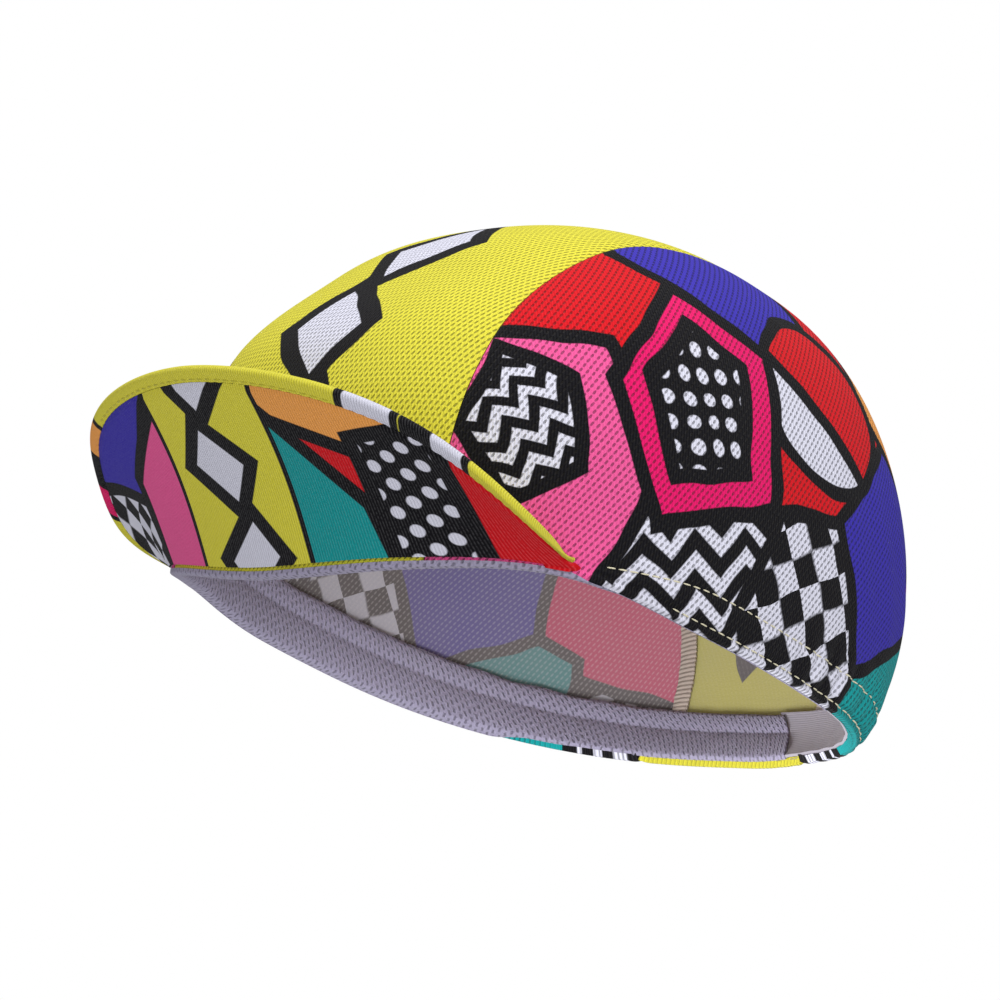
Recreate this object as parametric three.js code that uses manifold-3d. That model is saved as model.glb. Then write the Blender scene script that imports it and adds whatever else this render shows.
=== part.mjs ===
// A cycling cap with its peak turned up: three crown panels, a two-cover peak, a padded sweatband,
// an elastic at the back and a tape over each crown seam. Millimetres.
// +Z runs up through the crown, -Y is the wearer's front and +X their left.
// The origin is the middle of the head opening, in the plane of the rim.
import * as THREE from "three";
import { mergeVertices } from "three/addons/utils/BufferGeometryUtils.js";
import Module from "manifold-3d";

const wasm = await Module();
wasm.setup();

// Crown, outside sizes
const crownFront = 95;
const crownBack = 91;
const crownHalfWidth = 89;
const crownHeight = 113.3;
const widestHeight = 21;
// Powers of the plan outline and of the dome's profile: 2 is an ellipse, more is squarer
const planPower = 2.45;
const risePower = 2.05;
// The dome's profile is fullest over the ears and slopes most at the back
const sideRoundPower = 3.56;
const frontRoundPower = 2.95;
const backRoundPower = 1.97;
// How far the rim draws in under the widest section
const frontTuck = 0.5;
const sideTuck = 1.5;
const backTuck = 9.2;
// How the rim dips on the forehead and lifts at the nape
const frontDip = 11.5;
const frontDipHalfAngle = 59.5;
const backLift = 2;
// Small rise of the rim at each temple, where the peak's corners meet it
const templeRise = 1.5;
const templeAngle = 52;
const templeHalfAngle = 24;

// Cloth of the crown, and the turned hem at the rim
const clothWall = 1.4;
const hemWall = 2.2;
const hemHeight = 12;
const hemStep = 1.5;
// The centre strip keeps its width over the front half and narrows towards the nape
const stripHalfWidth = 49.2;
const stripBackHalfWidth = 27;

// Gathers that the elastic pulls in at the back
const gatherDepth = 0.9;
const gatherHalfAngle = 72;
const gatherPitchAngle = 12;
const gatherHeight = 34;

// Clearance left between neighbouring pieces
const pieceGap = 0.3;

// Peak
const peakHalfAngle = 52;
const peakSeamHeight = 2.6;
const peakForward = 75.5;
const peakRise = 23.5;
const peakCamber = 2.5;
// Powers of the peak's outline: how blunt its front is and how full its corners are
const peakBluntness = 3.3;
const peakFullness = 0.55;
// Beside the corners the edge spreads and sags, most where the peak is this share of its full length
const peakFlare = 5;
const peakDroop = 4;
const peakFlareShare = 0.3;
const peakFlareReach = 0.25;
const peakTopWall = 1.3;
const peakUnderWall = 1.1;
const peakRolledEdge = 5;
// The corners stop where the peak is this share of its full length
const peakCornerShare = 0.05;

// Sweatband: a knitted tape sewn down in two padded rows
const sweatbandBottom = 0.6;
const sweatbandTop = 18;
const sweatbandGroove = 10.6;
const sweatbandWall = 2.3;
const sweatbandGrooveWall = 1.2;

// Elastic between the sweatband's ends, left of the nape
const elasticFrom = 112;
const elasticTo = 167;
const elasticWall = 1.2;
const elasticTop = 18.6;

// Tapes over the crown seams, inside
const tapeWidth = 8;
const tapeWall = 1;

// Fineness of the solids
const sideStep = 6;
const backStep = 3;
const domeRows = 10;
const peakStations = 38;
const bandStep = 6;
const nudge = 0.01;
// Half the size of the cutters that part the panels, and the points along their curves
const cutReach = 150;
const cutStations = 30;

const radians = THREE.MathUtils.degToRad;
const share = (value, from, to) => THREE.MathUtils.clamp((value - from) / (to - from), 0, 1);

// Height of the rim's edge at an angle round from the front, positive to the wearer's left
function rimHeight(angle) {
  const half = radians(frontDipHalfAngle);
  const dip = Math.abs(angle) < half ? Math.cos((angle / half) * (Math.PI / 2)) ** 2 : 0;
  const fromTemple = Math.abs(Math.abs(angle) - radians(templeAngle)) / radians(templeHalfAngle);
  const rise = fromTemple < 1 ? Math.cos(fromTemple * (Math.PI / 2)) ** 2 : 0;
  return backLift * Math.max(0, -Math.cos(angle)) ** 2 - frontDip * dip + templeRise * rise;
}

// A point of the crown's outer surface
function outerPoint(angle, z) {
  const up = share(z, widestHeight, crownHeight);
  const round = 1 - up ** risePower;
  const below = Math.max(0, (widestHeight - z) / widestHeight) ** 2;
  const side = crownHalfWidth * round ** (1 / sideRoundPower) - sideTuck * below;
  const front = crownFront * round ** (1 / frontRoundPower) - frontTuck * below;
  const back = crownBack * round ** (1 / backRoundPower) - backTuck * below;
  const along = Math.cos(angle) > 0 ? front : back;
  const reach =
    (Math.abs(Math.sin(angle) / side) ** planPower + Math.abs(Math.cos(angle) / along) ** planPower) **
    (-1 / planPower);
  return new THREE.Vector3(reach * Math.sin(angle), -reach * Math.cos(angle), z);
}

// The same point, moved in from the surface by depth
function insetPoint(angle, z, depth) {
  const round = outerPoint(angle + nudge, z).sub(outerPoint(angle - nudge, z));
  const climb = outerPoint(angle, z + nudge).sub(outerPoint(angle, z - nudge));
  const outward = round.cross(climb).normalize();
  return outerPoint(angle, z).addScaledVector(outward, -depth);
}

// How far the cloth puckers outwards where the elastic gathers it
function gather(angle, z) {
  const fromBack = Math.abs(Math.PI - Math.abs(angle));
  const half = radians(gatherHalfAngle);
  const spread = fromBack < half ? Math.cos((fromBack / half) * (Math.PI / 2)) : 0;
  const fade = 1 - share(z - rimHeight(angle), 0, gatherHeight);
  const wave = (1 + Math.cos((fromBack / radians(gatherPitchAngle)) * 2 * Math.PI)) / 2;
  return gatherDepth * wave * Math.sqrt(spread) * fade ** 2;
}

// A closed surface through rings of points. A loop closes on itself; any other loft is capped,
// with the caps cut into triangles as the flat outline says.
function loft(rings, loop, outline) {
  const count = rings[0].length;
  const steps = loop ? rings.length : rings.length - 1;
  const index = [];
  for (let i = 0; i < steps; i++) {
    const here = i * count;
    const next = ((i + 1) % rings.length) * count;
    for (let j = 0; j < count; j++) {
      const k = (j + 1) % count;
      index.push(here + j, here + k, next + k, here + j, next + k, next + j);
    }
  }
  if (!loop) {
    const last = (rings.length - 1) * count;
    for (const [a, b, c] of THREE.ShapeUtils.triangulateShape(outline, [])) {
      const sameTurn =
        THREE.ShapeUtils.isClockWise([outline[a], outline[b], outline[c]]) ===
        THREE.ShapeUtils.isClockWise(outline);
      const [p, q] = sameTurn ? [b, c] : [c, b];
      index.push(a, q, p, last + a, last + p, last + q);
    }
  }
  const geometry = new THREE.BufferGeometry();
  const corners = rings.flat().flatMap((point) => [point.x, point.y, point.z]);
  geometry.setAttribute("position", new THREE.Float32BufferAttribute(corners, 3));
  geometry.setIndex(index);
  return solidFrom(geometry);
}

// A manifold solid from a closed geometry, without the triangles that have shrunk to a line, and
// with its faces turned outwards
function solidFrom(geometry) {
  const merged = mergeVertices(geometry, 1e-4);
  const corner = (k) => new THREE.Vector3().fromBufferAttribute(merged.attributes.position, k);
  const triangles = [];
  let volume = 0;
  for (let i = 0; i < merged.index.count; i += 3) {
    const [a, b, c] = [0, 1, 2].map((k) => merged.index.getX(i + k));
    if (a === b || b === c || c === a) continue;
    triangles.push(a, b, c);
    volume += corner(a).dot(corner(b).cross(corner(c)));
  }
  if (volume < 0) triangles.reverse();
  const mesh = new wasm.Mesh({
    numProp: 3,
    vertProperties: new Float32Array(merged.attributes.position.array),
    triVerts: new Uint32Array(triangles),
  });
  return new wasm.Manifold(mesh);
}

// A named mesh from a solid. Where cutting left crumbs, only the largest body is the piece.
function piece(name, solid, material) {
  const bodies = solid.decompose().sort((a, b) => b.volume() - a.volume());
  const { numProp, vertProperties, triVerts } = bodies[0].getMesh();
  const corners = new Float32Array((vertProperties.length / numProp) * 3);
  for (let i = 0; i < corners.length / 3; i++) {
    corners.set(vertProperties.subarray(i * numProp, i * numProp + 3), i * 3);
  }
  const geometry = new THREE.BufferGeometry();
  geometry.setAttribute("position", new THREE.BufferAttribute(corners, 3));
  geometry.setIndex(new THREE.BufferAttribute(new Uint32Array(triVerts), 1));
  geometry.computeVertexNormals();
  const mesh = new THREE.Mesh(geometry, material);
  mesh.name = name;
  return mesh;
}

// Angles round the rim, closer together where the cloth is gathered
function rimAngles() {
  const angles = [];
  for (let degrees = -180; degrees < 180; ) {
    angles.push(radians(degrees));
    degrees += Math.abs(degrees + 0.1) >= 180 - gatherHalfAngle ? backStep : sideStep;
  }
  return angles;
}

// Heights of the dome's rows at one angle, from a height above the rim to just under the top
function domeHeights(angle, above) {
  const rim = rimHeight(angle);
  const low = [0, hemHeight, hemHeight + hemStep].filter((h) => h >= above).map((h) => rim + h);
  if (above > 0) low.unshift(rim + above);
  const shoulder = Math.max(widestHeight, low[low.length - 1] + hemStep);
  const rows = [shoulder];
  for (let row = 1; row < domeRows; row++) {
    const lean = (row / domeRows) * (Math.PI / 2);
    rows.push(shoulder + (crownHeight - shoulder) * Math.sin(lean) ** (2 / risePower));
  }
  return [...low, ...rows];
}

// The cloth's thickness at a height above the rim: double in the turned hem
function wallAt(above) {
  return above > hemHeight + nudge ? clothWall : hemWall;
}

// The whole crown as one hollow dome, with its hem and gathers
function crownShell() {
  const rings = rimAngles().map((angle) => {
    const heights = domeHeights(angle, 0);
    const outside = heights.map((z) => insetPoint(angle, z, -gather(angle, z)));
    const inside = heights.map((z) =>
      insetPoint(angle, z, wallAt(z - rimHeight(angle)) - gather(angle, z)),
    );
    return [
      ...outside,
      new THREE.Vector3(0, 0, crownHeight),
      new THREE.Vector3(0, 0, crownHeight - clothWall),
      ...inside.reverse(),
    ];
  });
  return loft(rings, true);
}

// A thin dome that lies under the crown's cloth, from which the seam tapes are cut
function tapeShell() {
  const under = clothWall + pieceGap;
  const rings = rimAngles().map((angle) => {
    const heights = domeHeights(angle, elasticTop + pieceGap);
    const layer = (depth) => heights.map((z) => insetPoint(angle, z, depth - gather(angle, z)));
    return [
      ...layer(under),
      new THREE.Vector3(0, 0, crownHeight - under),
      new THREE.Vector3(0, 0, crownHeight - under - tapeWall),
      ...layer(under + tapeWall).reverse(),
    ];
  });
  return loft(rings, true);
}

// The crown filled solid and grown by the gap, used to trim the peak to the crown's face
function crownTrimmer() {
  const rings = rimAngles().map((angle) => [
    new THREE.Vector3(0, 0, -frontDip),
    ...domeHeights(angle, 0).map((z) => insetPoint(angle, z, -pieceGap)),
    new THREE.Vector3(0, 0, crownHeight + pieceGap),
  ]);
  return loft(rings, true);
}

// The seam's distance from the middle at a place along the cap
function seamReach(y) {
  const behind = Math.max(0, y / crownBack);
  return stripHalfWidth - (stripHalfWidth - stripBackHalfWidth) * behind ** 2;
}

// What lies between two curves that follow the seam in plan. Each curve is given by its side, 1 for
// the wearer's left and -1 for their right, and by how far outside the seam it runs.
function slice(solid, [sideA, outsideA], [sideB, outsideB]) {
  const places = Array.from({ length: cutStations + 1 }, (_, i) =>
    THREE.MathUtils.lerp(-cutReach, cutReach, i / cutStations),
  );
  const line = (side, outside) => places.map((y) => [side * (seamReach(y) + outside), y]);
  const outline = [...line(sideA, outsideA), ...line(sideB, outsideB).reverse()];
  const section = new wasm.CrossSection([outline], "Positive");
  const cutter = section.extrude(2 * cutReach).translate([0, 0, -cutReach]);
  return solid.intersect(cutter);
}

// The two ends of the peak's ruled lines, from the crown seam out to the edge
function peakRulings() {
  const seamPoint = (angle) => insetPoint(angle, rimHeight(angle) + peakSeamHeight, pieceGap);
  const corner = seamPoint(radians(peakHalfAngle));
  const last = Math.acos(peakCornerShare);
  const bell = (ahead) => Math.exp(-(((ahead - peakFlareShare) / peakFlareReach) ** 2));
  return Array.from({ length: peakStations + 1 }, (_, i) => {
    const turn = THREE.MathUtils.lerp(-last, last, i / peakStations);
    const ahead = Math.cos(turn);
    const across = Math.sign(turn) * (1 - ahead ** peakBluntness) ** peakFullness;
    const spread = bell(ahead) - bell(peakCornerShare) * (1 - ahead) ** 2;
    const outer = new THREE.Vector3(
      corner.x * across + Math.sign(turn) * peakFlare * spread,
      corner.y - peakForward * ahead,
      corner.z + peakRise * ahead - peakDroop * spread,
    );
    const inner = seamPoint((Math.asin(across) / (Math.PI / 2)) * radians(peakHalfAngle));
    return { inner, outer, ahead };
  });
}

// Lofts a flat outline along the peak. outlineFor gives the outline at a ruling's length, as
// points whose x runs along the ruling and whose y stands off the peak's middle layer.
function peakLoft(outlineFor) {
  const rulings = peakRulings();
  const rings = rulings.map(({ inner, outer, ahead }, i) => {
    const before = rulings[Math.max(0, i - 1)];
    const after = rulings[Math.min(rulings.length - 1, i + 1)];
    const run = outer.clone().sub(inner);
    const length = run.length();
    run.normalize();
    const sideways = after.inner.clone().add(after.outer).sub(before.inner).sub(before.outer);
    const upward = run.clone().cross(sideways).normalize();
    return outlineFor(length).map(({ x, y }) => {
      const bow = peakCamber * ahead * Math.sin((Math.PI * THREE.MathUtils.clamp(x, 0, length)) / length);
      return inner.clone().addScaledVector(run, x).addScaledVector(upward, y + bow);
    });
  });
  return loft(rings, false, outlineFor(peakForward));
}

const edgeRadius = (peakTopWall + peakUnderWall + pieceGap) / 2;
const rolledWidth = (length) => Math.min(peakRolledEdge, length / 2);

// The upper cover, which rolls over the edge onto the underside
function peakTopOutline(length) {
  const top = pieceGap / 2 + peakTopWall;
  const bottom = top - 2 * edgeRadius;
  const middle = (top + bottom) / 2;
  const steps = 6;
  const points = [new THREE.Vector2(0, pieceGap / 2)];
  for (const part of [0.25, 0.5, 0.75]) {
    points.push(new THREE.Vector2((length - rolledWidth(length)) * part, pieceGap / 2));
  }
  points.push(new THREE.Vector2(length - rolledWidth(length), pieceGap / 2));
  points.push(new THREE.Vector2(length - rolledWidth(length), bottom));
  for (let i = 0; i <= steps; i++) {
    const turn = -Math.PI / 2 + (i / steps) * Math.PI;
    const reach = Math.min(edgeRadius, length / 2);
    points.push(new THREE.Vector2(length - reach + reach * Math.cos(turn), middle + edgeRadius * Math.sin(turn)));
  }
  for (const part of [0.75, 0.5, 0.25, 0]) {
    points.push(new THREE.Vector2((length - rolledWidth(length)) * part, top));
  }
  return points;
}

// The under cover, which stops at the rolled edge
function peakUnderOutline(length) {
  const end = length - rolledWidth(length) - pieceGap;
  const low = -pieceGap / 2 - peakUnderWall;
  const high = -pieceGap / 2;
  const shares = [0, 0.25, 0.5, 0.75, 1];
  return [
    ...shares.map((part) => new THREE.Vector2(end * part, low)),
    ...shares.reverse().map((part) => new THREE.Vector2(end * part, high)),
  ];
}

// Lofts an outline round the inside of the rim. Its x is the height above the rim's edge and its
// y the depth in from the hem.
function bandLoft(outline, from, to) {
  const steps = Math.ceil((to - from) / bandStep);
  const rings = [];
  for (let i = 0; i <= steps; i++) {
    const angle = radians(from + ((to - from) * i) / steps);
    const rim = rimHeight(angle);
    rings.push(outline.map(({ x, y }) => insetPoint(angle, rim + x, hemWall + pieceGap + y)));
  }
  return loft(rings, false, outline);
}

// The sweatband's section: flat against the hem, with two padded rows facing the head
function sweatbandOutline() {
  const row = (from, to) =>
    [0.08, 0.3, 0.7, 0.92].map((part) => {
      const swell = Math.sin(Math.PI * part) ** 0.5;
      const wall = sweatbandGrooveWall + (sweatbandWall - sweatbandGrooveWall) * swell;
      return new THREE.Vector2(THREE.MathUtils.lerp(from, to, part), wall);
    });
  return [
    new THREE.Vector2(sweatbandBottom, 0),
    new THREE.Vector2(sweatbandTop, 0),
    ...row(sweatbandTop, sweatbandGroove),
    new THREE.Vector2(sweatbandGroove, sweatbandGrooveWall),
    ...row(sweatbandGroove, sweatbandBottom),
  ];
}

// The elastic's section: one flat woven band
function elasticOutline() {
  return [
    new THREE.Vector2(sweatbandBottom, 0),
    new THREE.Vector2(elasticTop, 0),
    new THREE.Vector2(elasticTop, elasticWall),
    new THREE.Vector2(sweatbandBottom, elasticWall),
  ];
}

const cloth = (color, roughness) => new THREE.MeshStandardMaterial({ color, roughness, metalness: 0 });
const yellowCloth = cloth(0xe3dc3c, 0.85);
const printedCloth = cloth(0xd8233c, 0.85);
const greyKnit = cloth(0x8b869a, 0.95);
const greyElastic = cloth(0x99959f, 0.8);
const seamTape = cloth(0xb3a89a, 0.9);

const shell = crownShell();
const tapes = tapeShell();
const trimmer = crownTrimmer();
const peakTop = peakLoft(peakTopOutline).subtract(trimmer);
// Near the corners the covers twist past each other, so the upper one is cut out of the under one
const peakUnder = peakLoft(peakUnderOutline).subtract(trimmer).subtract(peakTop);
const halfGap = pieceGap / 2;
const halfTape = tapeWidth / 2;
const beyond = 2 * crownHalfWidth;
// The angle at the rim that keeps the gap between the sweatband and the elastic
const bandGapAngle = THREE.MathUtils.radToDeg(pieceGap / (crownBack - backTuck - hemWall - sweatbandWall));

const cap = new THREE.Group();
cap.add(
  piece("centre_panel", slice(shell, [1, -halfGap], [-1, -halfGap]), yellowCloth),
  piece("left_panel", slice(shell, [1, beyond], [1, halfGap]), printedCloth),
  piece("right_panel", slice(shell, [-1, halfGap], [-1, beyond]), printedCloth),
  piece("left_seam_tape", slice(tapes, [1, halfTape], [1, -halfTape]), seamTape),
  piece("right_seam_tape", slice(tapes, [-1, -halfTape], [-1, halfTape]), seamTape),
  piece("peak_top_cover", peakTop, yellowCloth),
  piece("peak_under_cover", peakUnder, printedCloth),
  piece("sweatband", bandLoft(sweatbandOutline(), elasticTo + bandGapAngle - 360, elasticFrom), greyKnit),
  piece("back_elastic", bandLoft(elasticOutline(), elasticFrom + bandGapAngle, elasticTo), greyElastic),
);

export default cap;
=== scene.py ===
"""The looks of a cloth cycling cap with its peak turned up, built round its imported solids.

Lengths are in metres. +Z runs up through the crown, -Y is the wearer's front, +X their left.
"""

import math

import bpy
import numpy as np
from bpy.props import FloatProperty, FloatVectorProperty, PointerProperty
from mathutils import Matrix, Vector


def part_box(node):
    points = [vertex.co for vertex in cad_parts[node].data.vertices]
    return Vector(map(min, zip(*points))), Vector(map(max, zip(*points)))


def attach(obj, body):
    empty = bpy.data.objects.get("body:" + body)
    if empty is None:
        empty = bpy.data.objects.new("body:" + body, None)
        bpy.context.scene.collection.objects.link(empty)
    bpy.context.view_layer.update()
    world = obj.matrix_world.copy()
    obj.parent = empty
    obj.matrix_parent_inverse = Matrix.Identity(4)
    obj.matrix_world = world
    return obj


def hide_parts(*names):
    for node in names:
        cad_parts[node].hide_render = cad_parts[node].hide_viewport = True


bl_info = {
    "name": "Cycling Cap",
    "version": (1, 0, 0),
    "blender": (4, 5, 0),
    "location": "3D View > Sidebar > Cycling Cap",
    "description": "Models the cloth, peak, bands and stitching of a cycling cap",
    "category": "Add Mesh",
}

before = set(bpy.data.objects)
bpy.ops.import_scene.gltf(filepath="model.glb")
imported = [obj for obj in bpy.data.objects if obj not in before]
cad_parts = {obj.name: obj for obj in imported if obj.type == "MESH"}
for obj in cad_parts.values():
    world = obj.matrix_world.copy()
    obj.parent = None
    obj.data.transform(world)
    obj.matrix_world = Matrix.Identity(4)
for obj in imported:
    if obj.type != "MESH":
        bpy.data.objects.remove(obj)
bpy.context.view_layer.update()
centre_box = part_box("centre_panel")
left_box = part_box("left_panel")

MM = 0.001


def tone(code):
    """A colour of the screen, such as 0xE8DC3C, as the linear colour that shaders take."""
    parts = [((code >> shift) & 255) / 255 for shift in (16, 8, 0)]
    return [p / 12.92 if p <= 0.04045 else ((p + 0.055) / 1.055) ** 2.4 for p in parts]


def length(name, millimetres, description):
    """A length that a user can change, in millimetres here and in metres in the scene."""
    return FloatProperty(
        name=name, default=millimetres * MM, unit="LENGTH", precision=5, description=description
    )


def share(name, value, description):
    """A plain number that a user can change."""
    return FloatProperty(name=name, default=value, description=description)


def angle(name, degrees, description):
    """An angle that a user can change, in degrees here and in radians in the scene."""
    return FloatProperty(
        name=name, default=math.radians(degrees), subtype="ANGLE", description=description
    )


def colour(name, code, description):
    """A colour that a user can change."""
    return FloatVectorProperty(
        name=name, default=tone(code), size=3, min=0, max=1, subtype="COLOR", description=description
    )


class CapCrownSizes(bpy.types.PropertyGroup):
    """The crown's shape, its cloth and its turned hem"""

    front: length("Front", -centre_box[0].y / MM, "From the middle of the crown to its front")
    back: length("Back", 91, "From the middle of the crown to its back")
    half_width: length("Half width", left_box[1].x / MM, "From the middle to the side")
    height: length("Height", centre_box[1].z / MM, "From the rim's plane to the top")
    widest: length("Widest height", 21, "Height at which the crown is widest")
    plan_power: share("Plan power", 2.45, "2 is an ellipse in plan, more is squarer")
    rise_power: share("Rise power", 2.05, "How the dome rises")
    side_round: share("Side fullness", 3.56, "How full the dome is over the ears")
    front_round: share("Front fullness", 2.95, "How full the dome is over the forehead")
    back_round: share("Back fullness", 1.97, "How full the dome is at the back")
    front_tuck: length("Front tuck", 0.5, "How far the rim draws in at the front")
    side_tuck: length("Side tuck", 1.5, "How far the rim draws in at the sides")
    back_tuck: length("Back tuck", 9.2, "How far the rim draws in at the back")
    front_dip: length("Front dip", 11.5, "How far the rim dips on the forehead")
    dip_angle: angle("Dip angle", 59.5, "How far round from the front the dip reaches")
    back_lift: length("Back lift", 2, "How far the rim lifts at the nape")
    temple_rise: length("Temple rise", 1.5, "How far the rim rises where the peak's corners are")
    temple_angle: angle("Temple angle", 52, "Where round the rim the temples are")
    temple_reach: angle("Temple reach", 24, "How far to each side the temple's rise reaches")
    strip: length("Strip half width", 49.2, "Half the centre strip's width at the front")
    strip_back: length("Strip half width, back", 27, "Half the centre strip's width at the nape")
    cloth: length("Cloth", 1.4, "Thickness of the crown's cloth")
    hem: length("Hem thickness", 2.2, "Thickness of the turned hem")
    hem_height: length("Hem height", 12, "Height of the turned hem")


class CapPeakSizes(bpy.types.PropertyGroup):
    """The peak's shape and its rolled edge"""

    corner: angle("Corner angle", 52, "Where round the rim the peak's corners are")
    seam_height: length("Seam height", 2.6, "Height of the peak's seam over the rim's edge")
    forward: length("Forward", 75.5, "How far the tip stands in front of the corners")
    rise: length("Rise", 23.5, "How far the tip stands over the corners")
    camber: length("Camber", 2.5, "How far the peak bows between seam and edge")
    bluntness: share("Bluntness", 3.3, "How blunt the peak's front is")
    fullness: share("Fullness", 0.55, "How full the peak's corners are")
    thickness: length("Thickness", 2.7, "Thickness of both covers with the stiffener between")
    rolled: length("Rolled edge", 4.2, "Width of the upper cover on the underside")
    rolled_lean: length("Rolled edge lean", 1, "How much wider the roll is on the wearer's left")
    flare: length("Flare", 5, "How far the edge spreads beyond the corners")
    droop: length("Droop", 4, "How far the edge sags beside the corners")
    flare_place: share("Flare place", 0.3, "Where the edge spreads, as a share of the peak's length")
    flare_reach: share("Flare reach", 0.25, "How much of the peak's length the spread takes up")


class CapBandSizes(bpy.types.PropertyGroup):
    """The sweatband, the elastic and the seam tapes"""

    bottom: length("Bottom", 0.6, "Height of the sweatband's lower edge over the rim's edge")
    top: length("Top", 18, "Height of the sweatband's upper edge over the rim's edge")
    groove: length("Groove", 10.6, "Height of the groove between the padded rows")
    padding: length("Padding", 2.3, "Thickness of a padded row")
    thin: length("Thin", 1.2, "Thickness at the groove")
    clearance: length("Clearance", 0.3, "Between the hem and the bands")
    elastic_from: angle("Elastic from", 112, "Where round the rim the elastic starts")
    elastic_to: angle("Elastic to", 167, "Where round the rim the elastic ends")
    end_lean: angle("End lean", 4.5, "How far the sweatband's end leans over the elastic's end")
    lip: length("Lip", 0.3, "How far the sweatband rolls under the rim's edge")
    lip_left: angle("Lip to the left", 56, "Where the roll under the edge stops on the left")
    lip_right: angle("Lip to the right", 128, "Where the roll under the edge stops on the right")
    elastic_wall: length("Elastic wall", 1.2, "Thickness of the elastic")
    elastic_top: length("Elastic top", 18.6, "Height of the elastic's upper edge")
    tape: length("Tape width", 8, "Width of the tapes over the crown's seams")
    tape_wall: length("Tape wall", 1, "Thickness of the tapes")


class CapSewingSizes(bpy.types.PropertyGroup):
    """The stitches and what they and the elastic do to the cloth"""

    pitch: length("Stitch pitch", 3, "From one stitch to the next")
    stitch: length("Stitch length", 2.3, "Length of a stitch")
    thread: length("Thread", 0.42, "Thickness of the thread")
    lower_row: length("Lower row", 2.5, "Height of the hem's lower row of stitches")
    upper_row: length("Upper row", 10.6, "Height of the hem's upper row of stitches")
    gather: length("Gather depth", 1.2, "Depth of the gathers over the elastic")
    gather_pitch: length("Gather pitch", 6.8, "From one gather to the next")
    gather_from: angle("Gathers from", 84, "Where round the rim the gathers start")
    gather_full: angle("Gathers full from", 108, "Where round the rim the gathers are at their deepest")
    gather_to: angle("Gathers to", 174, "Where round the rim the gathers end")
    drawn_in: length("Drawn in", 1.4, "How far the elastic draws the hem in")
    brow: length("Brow", 4.6, "How far the cloth bulges over the forehead")


class CapColours(bpy.types.PropertyGroup):
    """The colours of the print, the bands and the thread"""

    yellow: colour("Yellow", 0xDFD742, "The centre strip and the peak's upper cover")
    pink: colour("Pink", 0xEC5A9A, "A colour of the print")
    red: colour("Red", 0xD3121E, "A colour of the print")
    orange: colour("Orange", 0xF2A452, "A colour of the print")
    magenta: colour("Magenta", 0xE31468, "A colour of the print")
    teal: colour("Teal", 0x14989A, "A colour of the print")
    violet: colour("Blue-violet", 0x3A30AA, "A colour of the print")
    black: colour("Black", 0x0F0E13, "The print's outlines")
    white: colour("White", 0xDCDCEC, "The print's white areas")
    knit: colour("Knit grey", 0x9C96AF, "The sweatband")
    elastic: colour("Elastic grey", 0xA6A1AC, "The elastic")
    tape: colour("Tape", 0xB0A298, "The seam tapes")
    thread: colour("Thread", 0xE9E2C4, "The stitches")


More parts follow.
